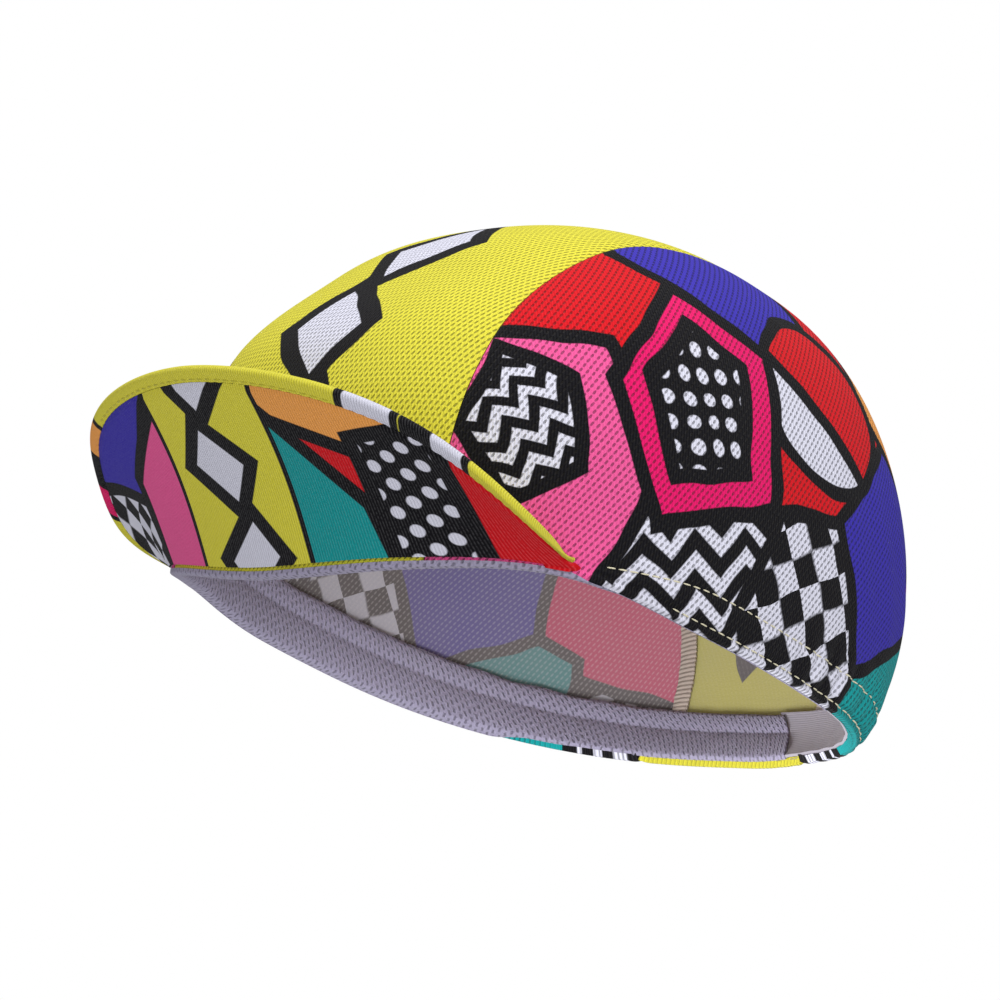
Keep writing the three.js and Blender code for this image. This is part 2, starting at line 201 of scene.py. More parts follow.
class Crown:
    """The crown's outer surface, as functions of the angle round from the front and the height."""

    def __init__(self, sizes):
        self.s = sizes

    def rim(self, angles):
        """Height of the rim's edge at angles round from the front, positive to the wearer's left."""
        s = self.s
        turned = (np.asarray(angles) + math.pi) % (2 * math.pi) - math.pi
        dip = np.where(
            np.abs(turned) < s.dip_angle, np.cos(turned / s.dip_angle * math.pi / 2) ** 2, 0
        )
        off = np.clip(np.abs(np.abs(turned) - s.temple_angle) / s.temple_reach, 0, 1)
        rise = np.cos(off * math.pi / 2) ** 2
        lift = np.maximum(0, -np.cos(turned)) ** 2
        return s.back_lift * lift - s.front_dip * dip + s.temple_rise * rise

    def rim_place(self, points):
        """Each point's angle round from the front and its height over the rim's edge."""
        angles = np.arctan2(points[..., 0], -points[..., 1])
        return angles, points[..., 2] - self.rim(angles)

    def reaches(self, z, ahead):
        """How far the surface reaches to the side and along the cap at a height."""
        s = self.s
        up = np.clip((z - s.widest) / (s.height - s.widest), 0, 1)
        full = 1 - up**s.rise_power
        below = np.maximum(0, (s.widest - z) / s.widest) ** 2
        side = s.half_width * full ** (1 / s.side_round) - s.side_tuck * below
        front = s.front * full ** (1 / s.front_round) - s.front_tuck * below
        back = s.back * full ** (1 / s.back_round) - s.back_tuck * below
        return side, np.where(ahead, front, back)

    def point(self, angles, z):
        """The surface's point at an angle and a height."""
        n = self.s.plan_power
        side, along = self.reaches(z, np.cos(angles) > 0)
        reach = (np.abs(np.sin(angles) / side) ** n + np.abs(np.cos(angles) / along) ** n) ** (-1 / n)
        return np.stack([reach * np.sin(angles), -reach * np.cos(angles), z + 0 * reach], -1)

    def level(self, points):
        """Under 0 inside the crown, 0 on its surface and over 0 outside it."""
        s = self.s
        x, y, z = (points[..., k] for k in range(3))
        side, along = self.reaches(np.minimum(z, s.widest), y < 0)
        up = np.maximum(0, (z - s.widest) / (s.height - s.widest)) ** s.rise_power
        inside, full = np.zeros(x.shape), np.full(x.shape, 3.0)
        for _ in range(46):
            tried = (inside + full) / 2
            wide = side * tried ** (1 / s.side_round)
            long = along * tried ** (1 / np.where(y < 0, s.front_round, s.back_round))
            n = s.plan_power
            outside = np.abs(x / wide) ** n + np.abs(y / long) ** n > 1
            inside, full = np.where(outside, tried, inside), np.where(outside, full, tried)
        return inside + up - 1

    def normal(self, points):
        """The outward direction at points of the surface."""
        step = 0.02 * MM
        slope = np.empty(points.shape)
        for axis in range(3):
            move = np.zeros(3)
            move[axis] = step
            slope[..., axis] = self.level(points + move) - self.level(points - move)
        return unit(slope)

    def outwards(self, place):
        """The outward direction at one place."""
        return self.normal(place[None, :])[0]

    def seam(self, y):
        """The seam's distance from the middle, at places along the cap."""
        s = self.s
        behind = np.maximum(0, y / s.back)
        return s.strip - (s.strip - s.strip_back) * behind**2

    def strip_line(self, across, count, shares=None):
        """A line over the crown from its front rim to its back rim, evenly spaced or at shares of
        its length. Across runs from -1 on the right seam to 1 on the left seam."""
        s = self.s
        n = s.plan_power
        top = max((abs(across) * s.strip / s.half_width) ** s.side_round, 1e-9)
        full = top + (1 - top) * np.linspace(0, 1, 3 * count) ** 3
        dome = s.widest + (s.height - s.widest) * (1 - full) ** (1 / s.rise_power)
        halves = []
        for ahead in (True, False):
            edge = self.rim_under_line(across, ahead)
            z = np.concatenate([dome, np.linspace(s.widest, edge, count)[1:]])
            side, along = self.reaches(z, ahead)
            x = across * s.strip
            for _ in range(12):
                y = along * np.maximum(1 - np.abs(x / side) ** n, 0) ** (1 / n)
                y = -y if ahead else y
                x = across * self.seam(y)
            halves.append(np.stack([x + 0 * y, y, z], -1))
        return even(np.concatenate([halves[0][::-1], halves[1][1:]]), count, shares)

    def rim_under_line(self, across, ahead):
        """Height of the rim where a line over the crown ends."""
        s = self.s
        z = 0.0
        x = across * s.strip
        for _ in range(12):
            side, along = self.reaches(np.array(z), ahead)
            y = along * (1 - np.abs(x / side) ** s.plan_power) ** (1 / s.plan_power)
            y = -y if ahead else y
            x = across * self.seam(y)
            z = float(self.rim(math.atan2(x, -y)))
        return z


def even(line, count, shares=None):
    """The same line with points evenly spaced along it, or at shares of its length."""
    steps = np.linalg.norm(np.diff(line[:, :3], axis=0), axis=1)
    gone = np.concatenate([[0], np.cumsum(steps)])
    places = gone[-1] * (np.linspace(0, 1, count) if shares is None else shares)
    return np.stack([np.interp(places, gone, line[:, k]) for k in range(line.shape[1])], -1)


def distances(grid, axis):
    """How far each point of a grid lies along its row or column from the first one."""
    steps = np.linalg.norm(np.diff(grid, axis=axis), axis=-1)
    first = np.zeros_like(np.take(steps, [0], axis=axis))
    return np.concatenate([first, np.cumsum(steps, axis=axis)], axis=axis)


def unit(directions):
    """Directions made one long."""
    return directions / np.linalg.norm(directions, axis=-1, keepdims=True)


def bell(distance, width):
    """1 at no distance, falling softly to 0 over a few widths."""
    return np.exp(-((distance / width) ** 2))


def ease(value, low, high):
    """A soft step from 0 at the low value to 1 at the high one."""
    t = np.clip((value - low) / (high - low), 0, 1)
    return t * t * (3 - 2 * t)


def fade(value, low, high):
    """A soft step from 1 at the low value to 0 at the high one."""
    return 1 - ease(value, low, high)


def wobble(places, seed, pitch):
    """A smooth random wave along places, between -1 and 1, that is the same on each run."""
    chance = np.random.default_rng(seed)
    phases = chance.uniform(0, 2 * math.pi, 4)
    stretch = chance.uniform(0.7, 1.6, 4)
    waves = [np.sin(places / pitch * r * 2 * math.pi + p) for p, r in zip(phases, stretch)]
    return sum(waves) / 4


def lie_of_cloth(crown, sewing, points):
    """How far the sewn cloth stands off the plain surface: gathers, stitch lines and the fold."""
    angles, above = crown.rim_place(points)
    around = angles * crown.s.half_width
    off = gathers(sewing, angles, around, above) + ease_of_cloth(sewing, angles, above)
    upper = upper_row_height(sewing, angles)
    off_peak = ease(np.abs(angles), math.radians(50), math.radians(58))
    stitch_pull = 0.85 + 0.15 * np.cos(around / sewing.pitch * 2 * math.pi)
    groove, groove_width = 0.45 * MM, 0.8 * MM
    for row in (sewing.lower_row, upper):
        off -= groove * bell(above - row, groove_width) * off_peak * stitch_pull
    puffed, run_in = 0.35 * MM, 2 * MM
    over_lower = ease(above, sewing.lower_row, sewing.lower_row + run_in)
    under_upper = fade(above, upper - run_in, upper)
    off += puffed * over_lower * under_upper * off_peak
    fold = 0.35 * MM * bell(above - 1.3 * MM, 0.8 * MM)
    rounded_edge = 0.8 * MM * bell(above, 0.45 * MM)
    return off + (fold - rounded_edge) * off_peak


def gathers(sewing, angles, around, above):
    """The folds that the elastic gathers the cloth into: sharp in the hem, soft over it."""
    share_here = gathered_share(sewing, angles)
    drift = 1.8 * MM * wobble(around, seed=3, pitch=31 * MM)
    phase = (around + drift) / sewing.gather_pitch * math.pi
    phase = phase + 0.5 * wobble(above, seed=13, pitch=14 * MM)
    puff = np.abs(np.sin(phase)) - 0.6
    size = 1 + 0.5 * wobble(around, seed=5, pitch=19 * MM)
    in_hem = 0.15 + 0.85 * ease(above, 0, 5 * MM) - ease(above, 7 * MM, 22 * MM)
    off = sewing.gather * puff * size * share_here * np.maximum(in_hem, 0)
    over_hem = ease(above, 14 * MM, 28 * MM) * fade(above, 40 * MM, 75 * MM)
    soft_folds = wobble(around + 0.6 * above, seed=9, pitch=24 * MM)
    return off + 0.5 * MM * over_hem * share_here * soft_folds


def gathered_share(sewing, angles):
    """How much of the gathers' depth there is at angles round the rim: none but at the elastic."""
    turned = np.asarray(angles) % (2 * math.pi)
    starts = ease(turned, sewing.gather_from, sewing.gather_full)
    return starts * fade(turned, sewing.gather_to - math.radians(22), sewing.gather_to)


def ease_of_cloth(sewing, angles, above):
    """How far the cloth bulges over the forehead, less how far the elastic draws it in."""
    front = fade(np.abs(angles), math.radians(36), math.radians(78))
    brow = front * ease(above, 5 * MM, 50 * MM) * fade(above, 58 * MM, 92 * MM)
    low = fade(above, 12 * MM, 40 * MM)
    return sewing.brow * brow - sewing.drawn_in * low * gathered_share(sewing, angles)


def upper_row_height(sewing, angles):
    """The upper row of stitches starts at the peak's corners and rises to its full height."""
    rise = ease(np.abs(angles), math.radians(48), math.radians(76))
    return sewing.upper_row * (0.3 + 0.7 * rise)


def select_only(made=None):
    """Leaves one object selected and active, or none selected."""
    bpy.ops.object.select_all(action="DESELECT")
    if made:
        made.select_set(True)
        bpy.context.view_layer.objects.active = made


def new_grid(name, columns, rows):
    """A flat grid as a new object, with each vertex's column and row."""
    select_only()
    bpy.ops.mesh.primitive_grid_add(x_subdivisions=columns, y_subdivisions=rows, size=1)
    made = bpy.context.object
    made.name = name
    made.data.name = name
    places = np.empty(len(made.data.vertices) * 3)
    made.data.vertices.foreach_get("co", places)
    places = places.reshape(-1, 3)[:, :2] + 0.5
    index = np.rint(places * [columns, rows]).astype(int)
    return made, index


def lay_sheet(name, points, across, along, outwards):
    """A sheet of cloth over a grid of points, with its flat coordinates as its UV map."""
    columns, rows = points.shape[0] - 1, points.shape[1] - 1
    made, index = new_grid(name, columns, rows)
    mesh = made.data
    placed = points[index[:, 0], index[:, 1]]
    mesh.vertices.foreach_set("co", placed.ravel())
    flat = np.stack([across, along], -1)[index[:, 0], index[:, 1]]
    corners = np.empty(len(mesh.loops), int)
    mesh.loops.foreach_get("vertex_index", corners)
    mesh.uv_layers.active.name = "flat_cloth"
    mesh.uv_layers.active.data.foreach_set("uv", flat[corners].ravel())
    mesh.update()
    face = mesh.polygons[len(mesh.polygons) // 2 + columns // 2]
    if face.normal.dot(Vector(outwards(np.array(face.center)))) < 0:
        mesh.flip_normals()
    return made, index


def thicken(made, wall, thin=1.0, thickness=None, index=None, inner_slot=0):
    """Gives a sheet its thickness on the inner side. Thickness, if given, is a grid of shares."""
    select_only(made)
    bpy.ops.object.modifier_add(type="SOLIDIFY")
    solid = made.modifiers[-1]
    solid.thickness = wall
    solid.offset = -1
    solid.use_even_offset = False
    solid.material_offset = inner_slot
    if thickness is not None:
        group = made.vertex_groups.new(name="thickness")
        levels = 20
        steps = np.rint(thickness[index[:, 0], index[:, 1]] * levels).astype(int)
        for step in np.unique(steps):
            group.add(np.nonzero(steps == step)[0].tolist(), step / levels, "REPLACE")
        solid.vertex_group = group.name
        solid.thickness_vertex_group = thin
    bpy.ops.object.modifier_apply(modifier=solid.name)
    bpy.ops.object.shade_smooth_by_angle(angle=math.radians(50))
    return made


def finish_piece(made, slot, materials, *nodes):
    """Gives a piece its materials and the body it rides on, and hides the solids it stands for."""
    for material in materials:
        made.data.materials.append(material)
    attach(made, "root")
    if nodes:
        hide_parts(*nodes)
    return made


class Value:
    """A number of a shader, whose maths is written as Python expressions."""

    def __init__(self, shader, socket):
        self.shader = shader
        self.socket = socket

    def _do(self, operation, first, second):
        return self.shader.node("ShaderNodeMath", {0: first, 1: second}, operation=operation)

    def __add__(self, other):
        return self._do("ADD", self, other)

    def __sub__(self, other):
        return self._do("SUBTRACT", self, other)

    def __rsub__(self, other):
        return self._do("SUBTRACT", other, self)

    def __mul__(self, other):
        return self._do("MULTIPLY", self, other)

    def __truediv__(self, other):
        return self._do("DIVIDE", self, other)

    def __pow__(self, other):
        return self._do("POWER", self, other)

    def __mod__(self, other):
        return self._do("FLOORED_MODULO", self, other)

    __radd__ = __add__
    __rmul__ = __mul__

    def __abs__(self):
        return self._do("ABSOLUTE", self, 0)

    def least(self, other):
        return self._do("MINIMUM", self, other)

    def most(self, other):
        return self._do("MAXIMUM", self, other)

    def floor(self):
        return self._do("FLOOR", self, 0)

    def sine(self):
        return self._do("SINE", self, 0)

    def wave(self, pitch):
        """A wave from -1 to 1 that repeats with a pitch."""
        return (self * (2 * math.pi / pitch)).sine()

    def over(self, limit, softness):
        """0 under the limit and 1 over it, with a soft step between."""
        step = (self - limit) / softness + 0.5
        return step.most(0).least(1)


class Shader:
    """A material's nodes."""

    def __init__(self, name):
        self.material = bpy.data.materials.new(name)
        self.material.use_nodes = True
        self.tree = self.material.node_tree
        self.surface = self.tree.nodes["Principled BSDF"]

    def node(self, kind, sockets=(), output=0, **settings):
        """Adds a node: its settings first, then the values or links of its sockets."""
        made = self.tree.nodes.new(kind)
        for key, value in settings.items():
            setattr(made, key, value)
        for key, value in dict(sockets).items():
            if isinstance(value, Value):
                self.tree.links.new(value.socket, made.inputs[key])
            else:
                made.inputs[key].default_value = value
        return Value(self, made.outputs[output])

    def vector(self, operation, first, second, output=0):
        """Maths on vectors. Output 1 is for what comes out as a number, such as a distance."""
        sockets = {0: first, 1: second}
        return self.node("ShaderNodeVectorMath", sockets, output, operation=operation)

    def flat_cloth(self):
        """The cloth's flat coordinates in millimetres, as a vector and its two parts."""
        flat = self.node("ShaderNodeUVMap", uv_map="flat_cloth")
        scaled = self.vector("MULTIPLY", flat, (1000, 1000, 1000))
        split = self.node("ShaderNodeSeparateXYZ", {0: scaled})
        return scaled, split, Value(self, split.socket.node.outputs[1])

    def mix(self, factor, first, second):
        """Two colours or vectors, each a link or three numbers, mixed by a factor."""
        shades = [s if isinstance(s, Value) else (*s, 1) for s in (first, second)]
        sockets = {0: factor, 6: shades[0], 7: shades[1]}
        return self.node("ShaderNodeMix", sockets, output=2, data_type="RGBA")

    def noise(self, vector, scale, detail):
        """A soft random number from about 0 to 1 at each place."""
        sockets = {"Vector": vector, "Scale": scale, "Detail": detail}
        return self.node("ShaderNodeTexNoise", sockets)

    def finish(self, shade, height, depth, roughness, sheen):
        """Joins the colour and a bump of a height and a depth to the surface of dull cloth."""
        self.tree.links.new(shade.socket, self.surface.inputs["Base Color"])
        for key, value in (
            ("Roughness", roughness),
            ("Sheen Weight", sheen),
            ("Sheen Roughness", 0.5),
            ("Specular IOR Level", 0.07),
        ):
            self.surface.inputs[key].default_value = value
        bump = self.node("ShaderNodeBump", {"Height": height, "Distance": depth, "Strength": 1.0})
        self.tree.links.new(bump.socket, self.surface.inputs["Normal"])
        return self.material


class Print:
    """A print of flat shapes with black outlines, laid one over another like cut paper.

    Lengths are in millimetres. A fill is the name of one of the cap's colours, or a pattern."""

    def __init__(self, shader, flat, base):
        self.shader = shader
        self.flat = flat
        self.ink = bpy.context.scene.cap_colours
        self.shade = tuple(getattr(self.ink, base))

    def edge(self, degrees, distance):
        """Distance over a straight line that faces a direction."""
        turn = math.radians(degrees)
        facing = (math.cos(turn), math.sin(turn), 0)
        return self.shader.vector("DOT_PRODUCT", self.flat, facing, output=1) - distance

    def block(self, *corners):
        """Distance outside a shape with straight sides, whose corners run anticlockwise."""
        inside = None
        for (x, y), (to_x, to_y) in zip(corners, corners[1:] + corners[:1]):
            facing = math.degrees(math.atan2(to_y - y, to_x - x)) - 90
            turn = math.radians(facing)
            side = self.edge(facing, x * math.cos(turn) + y * math.sin(turn))
            inside = side if inside is None else inside.most(side)
        return inside

    def disc(self, x, y, radius):
        """Distance outside a disc."""
        return self.shader.vector("DISTANCE", self.flat, (x, y, 0), output=1) - radius

    def two_tone(self, mask):
        """White where the mask is 1 and black where it is 0."""
        return self.shader.mix(mask, self.ink.black, self.ink.white)

    def checks(self, degrees, pitch):
        """Black and white checks."""
        one = ((self.edge(degrees, 0) / pitch) % 2.0).over(1, 0.1)
        two = ((self.edge(degrees + 90, 0) / pitch) % 2.0).over(1, 0.1)
        return self.two_tone(abs(one - two))

    def dots(self, degrees, pitch, size):
        """White dots on black."""
        x = ((self.edge(degrees, 0) / pitch) % 1.0) - 0.5
        y = ((self.edge(degrees + 90, 0) / pitch) % 1.0) - 0.5
        return self.two_tone(1 - ((x * x + y * y) ** 0.5).over(size, 0.06))

    def zigzags(self, degrees, width, pitch):
        """White zigzags on black."""
        x = abs(((self.edge(degrees, 0) / width) % 1.0) - 0.5) * width
        run = ((self.edge(degrees + 90, 0) + x) / pitch) % 1.0
        return self.two_tone(abs(run - 0.5).over(0.27, 0.06))

    def lay(self, outside, fill, outline=2.0):
        """Lays a shape over what is there, with an outline that runs both ways from its edge."""
        if isinstance(fill, str):
            fill = tuple(getattr(self.ink, fill))
        softness = 0.3
        border = 1 - outside.over(outline, softness)
        inner = 1 - outside.over(-outline, softness)
        self.shade = self.shader.mix(border, self.shade, self.ink.black)
        self.shade = self.shader.mix(inner, self.shade, fill)

    def patch(self, fill, *corners):
        """Lays a shape with straight sides."""
        self.lay(self.block(*corners), fill)

    def lozenge(self, x, y, half_width, half_length, lean, outline):
        """Lays a white lozenge that leans to one side."""
        low, high = (x + lean, y - half_length), (x - lean, y + half_length)
        shape = self.block(low, (x + half_width, y), high, (x - half_width, y))
        self.lay(shape, "white", outline)


def side_print(shader, flat):
    """The side panels' print. Places are in millimetres, from the middle of the panel's rim."""
    work = Print(shader, flat, "red")
    work.patch("pink", (-140, -20), (-60, -20), (-46, 30), (-66, 60), (-140, 50))
    work.patch(work.zigzags(50, 9, 6.5), (-98, 30), (-82, 14), (-67, 28), (-74, 48), (-92, 52))
    work.patch("violet", (-60, 96), (-22, 78), (2, 100), (-10, 150), (-60, 150))
    work.patch(work.zigzags(24, 15, 9.5), (-60, -20), (-22, -20), (-8, 20), (-14, 42), (-50, 26))
    work.patch("orange", (24, 84), (62, 62), (120, 70), (120, 150), (14, 150))
    work.patch("magenta", (66, 26), (140, 10), (140, 80), (60, 78))
    work.patch("teal", (28, -20), (86, -20), (82, 32), (44, 38), (34, 14))
    work.patch(work.zigzags(80, 13, 9), (84, -20), (140, -20), (140, 22), (86, 26))
    work.patch(work.checks(38, 8), (-20, -20), (28, -20), (36, 16), (14, 46), (-10, 38))
    work.patch("violet", (12, 46), (34, 12), (68, 34), (62, 68), (34, 78))
    disc = work.disc(4, 76, 24)
    work.lay(disc, "red")
    work.lay(disc.most(work.edge(62, 63)), "white")
    work.patch("magenta", (-64, 52), (-46, 20), (-12, 38), (-18, 80), (-48, 88))
    work.patch(work.dots(20, 6.4, 0.3), (-55, 56), (-43, 33), (-23, 44), (-27, 72), (-44, 77))
    return work.shade


def strip_print(shader, flat):
    """The centre strip's print: a chain of white lozenges on yellow."""
    work = Print(shader, flat, "yellow")
    for number in range(8):
        lean = 5 if number % 2 else -5
        middle = (-lean / 2, 30 + 38 * number)
        work.lozenge(*middle, half_width=16, half_length=20, lean=lean, outline=2.7)
    return work.shade


def underside_print(shader, flat):
    """The print of the peak's under cover. Places are in millimetres: the first from the middle,
    the second forward from the crown's seam."""
    work = Print(shader, flat, "red")
    work.patch("orange", (18, 40), (44, 28), (90, 44), (90, 100), (18, 100))
    work.patch("teal", (18, -30), (48, -30), (42, 14), (18, 44))
    work.patch(work.dots(30, 5.6, 0.3), (44, -30), (60, -30), (66, 36), (44, 32))
    work.patch("violet", (-90, 30), (-46, 18), (-18, 50), (-18, 100), (-90, 100))
    work.patch("pink", (-50, -30), (-18, -30), (-18, 46), (-44, 24))
    work.patch(work.checks(25, 6.5), (-90, -30), (-50, -30), (-46, 18), (-90, 34))
    work.lay(work.block((-21, -30), (21, -30), (21, 90), (-21, 90)), "yellow", 0.8)
    for number in range(4):
        lean = 3 if number % 2 else -3
        middle = (-lean / 2, 2 + 25 * number)
        work.lozenge(*middle, half_width=12, half_length=13, lean=lean, outline=2.2)
    return work.shade


def edge_print(shader, flat):
    """The peak's upper cover: yellow, with bits of the print where it rolls over the edge.
    Places are in millimetres: the first round the edge from its middle, the second from the edge."""
    work = Print(shader, flat, "yellow")
    low, high, lean = -4, 14, 3
    for place, half, fill in (
        (57, 6, "white"),
        (71, 2.5, "black"),
        (79, 4, "white"),
        (-62, 7, "orange"),
        (-78, 5, "black"),
        (-90, 5, "magenta"),
    ):
        left, right = place - half, place + half
        corners = (left, low), (right + lean, low), (right, high), (left - lean, high)
        work.lay(work.block(*corners), fill, 1.1)
    return work.shade


def eyelets(across, along):
    """The knit's rows of small slanted holes, and its fine yarns between them."""
    pitch, lean, half_width, half_height = 1.55, 0.42, 0.17, 0.38
    row = (along / pitch).floor()
    place = across / pitch + (row % 2.0) * 0.5
    x = (place % 1.0) - 0.5
    y = ((along / pitch) % 1.0) - 0.5
    x = (x - y * lean) / half_width
    y = y / half_height
    hole = 1 - ((x * x + y * y) ** 0.5).over(1, 0.7)
    yarn = (across * (2 * math.pi / pitch * 2) + along * 1.2).sine()
    return hole, yarn


def drifted(shader, flat):
    """A slight drift of the print, as on stretched cloth."""
    sockets = {"Vector": flat, "Scale": 0.05, "Detail": 1.0}
    noise = shader.node("ShaderNodeTexNoise", sockets, output=1)
    centred = shader.vector("SUBTRACT", noise, (0.5, 0.5, 0.5))
    moved = shader.vector("MULTIPLY", centred, (5, 5, 0))
    return shader.vector("ADD", moved, flat)


def lit(shader, shade, amount):
    """The shade made brighter or darker by an amount, where 1 leaves it as it is."""
    return shader.node("ShaderNodeVectorMath", {0: shade, "Scale": amount}, operation="SCALE")


def darker(shade, part):
    """The part of a colour's light that is left in its darker places."""
    return tuple(c * part for c in shade)


def mesh_cloth(name, print_of):
    """The crown's printed mesh knit."""
    shader = Shader(name)
    flat, across, along = shader.flat_cloth()
    shade = print_of(shader, drifted(shader, flat))
    hole, yarn = eyelets(across, along)
    fuzz = shader.noise(flat, 1.7, 3)
    blotch = shader.noise(flat, 0.04, 2)
    in_hole, painted_yarn_highlight = (0.014, 0.012, 0.01), (0.8, 0.8, 0.85)
    shade = shader.mix(hole * 0.58, shade, in_hole)
    shade = lit(shader, shade, 0.88 + yarn * 0.05 + fuzz * 0.14 + blotch * 0.1)
    # Painted highlight: a pale grey mixed in over the yarn's ridges, flecked by the fuzz, for the light
    # that the ridges catch.
    shade = shader.mix((yarn + 1) * fuzz * 0.008, shade, painted_yarn_highlight)
    height = yarn * 0.2 - hole + fuzz * 0.25
    return shader.finish(shade, height, 0.3 * MM, roughness=0.88, sheen=0.04)


def wrong_side(name, print_of, shine_through):
    """The inside of the mesh knit: the print shows through it faded and darkened by painted shade, and
    light through its holes.
    """
    shader = Shader(name)
    flat, across, along = shader.flat_cloth()
    shade = print_of(shader, drifted(shader, flat))
    hole = eyelets(across, along)[0]
    fuzz = shader.noise(flat, 1.7, 3)
    blotch = shader.noise(flat, 0.06, 2)
    bare_yarn, light = (0.38, 0.345, 0.35), (0.6, 0.57, 0.57)
    shade = shader.mix(0.42 + blotch * 0.12, shade, bare_yarn)
    # Painted shade: the darkening by 0.76 brings the faded print down to the brightness of the shaded
    # inside of the cap.
    shade = lit(shader, shade, 0.76 + fuzz * 0.12)
    shade = shader.mix(hole * shine_through, shade, light)
    return shader.finish(shade, fuzz, 0.1 * MM, roughness=0.95, sheen=0.04)


def ribbed_cloth(name, print_of):
    """The peak's cloth, smoother than the crown's, with fine ribs that run forward, and darkened by
    painted shade.
    """
    shader = Shader(name)
    flat, across, _ = shader.flat_cloth()
    shade = print_of(shader, flat)
    rib = across.wave(0.75)
    fuzz = shader.noise(flat, 1.6, 3)
    # Flecks of grey on the tops of the ribs, where the fuzz is high.
    grey_rib_flecks = rib.over(0.35, 0.9) * fuzz.over(0.46, 0.2)
    # Painted shade: the 0.76 makes both of the peak's covers darker than the crown's cloth of the same
    # colour, for the shade on the peak.
    shade = lit(shader, shade, 0.76 + rib * 0.07 + fuzz * 0.16)
    shade = shader.mix(grey_rib_flecks * 0.07, shade, (0.5, 0.5, 0.52))
    return shader.finish(shade, rib * 0.6 + fuzz, 0.12 * MM, roughness=0.85, sheen=0.04)


def knit_cloth():
    """The sweatband's soft knit: upright rows of loops with dark gaps between them."""
    knit = bpy.context.scene.cap_colours.knit
    shader = Shader("sweatband_knit")
    flat, across, along = shader.flat_cloth()
    pitch, loop_pitch = 1.75, 2.5
    wander = (shader.noise(flat, 0.35, 2) - 0.5) * 1.3
    column = ((across + wander) / pitch + 0.5).floor()
    side = abs((((across + wander) / pitch) % 1.0) - 0.5)
    slant = along + wander * 0.5 + (column % 2.0) * (loop_pitch / 2)
    loop = slant.wave(loop_pitch)
    gap = side.over(0.35, 0.22) * loop.over(-0.2, 1.0)
    fuzz = shader.noise(flat, 1.4, 4)
    shade = shader.mix(gap * 0.62, knit, darker(knit, 0.25))
    shade = lit(shader, shade, 0.84 + loop * 0.06 + fuzz * 0.34)
    height = loop * 0.2 - gap * 1.1 + fuzz * 0.5
    return shader.finish(shade, height, 0.45 * MM, roughness=0.95, sheen=0.15)


def elastic_cloth():
    """The elastic's woven ribs, which run round the head."""
    elastic = bpy.context.scene.cap_colours.elastic
    shader = Shader("elastic_weave")
    flat, _, along = shader.flat_cloth()
    rib = along.wave(0.85)
    fuzz = shader.noise(flat, 0.9, 3)
    shade = shader.mix(fuzz, elastic, darker(elastic, 0.86))
    shade = lit(shader, shade, 1.04 + rib * 0.04)
    return shader.finish(shade, rib, 0.025 * MM, roughness=0.8, sheen=0.15)


def tape_cloth():
    """The seam tape's cross ribs."""
    tape = bpy.context.scene.cap_colours.tape
    shader = Shader("seam_tape_weave")
    flat, _, along = shader.flat_cloth()
    rib = along.wave(1.3)
    fuzz = shader.noise(flat, 0.8, 3)
    shade = shader.mix(rib.over(0, 1.6) * 0.25, tape, darker(tape, 0.7))
    shade = lit(shader, shade, 0.85 + fuzz * 0.3)
    return shader.finish(shade, rib + fuzz * 0.5, 0.13 * MM, roughness=0.9, sheen=0.15)


def thread_yarn(name, thread):
    """Twisted sewing thread."""
    shader = Shader(name)
    place = shader.node("ShaderNodeTexCoord", output=3)
    fuzz = shader.noise(place, 2200.0, 2)
    shade = shader.mix(fuzz, thread, darker(thread, 0.7))
    return shader.finish(shade, fuzz, 0.05 * MM, roughness=0.6, sheen=0.15)


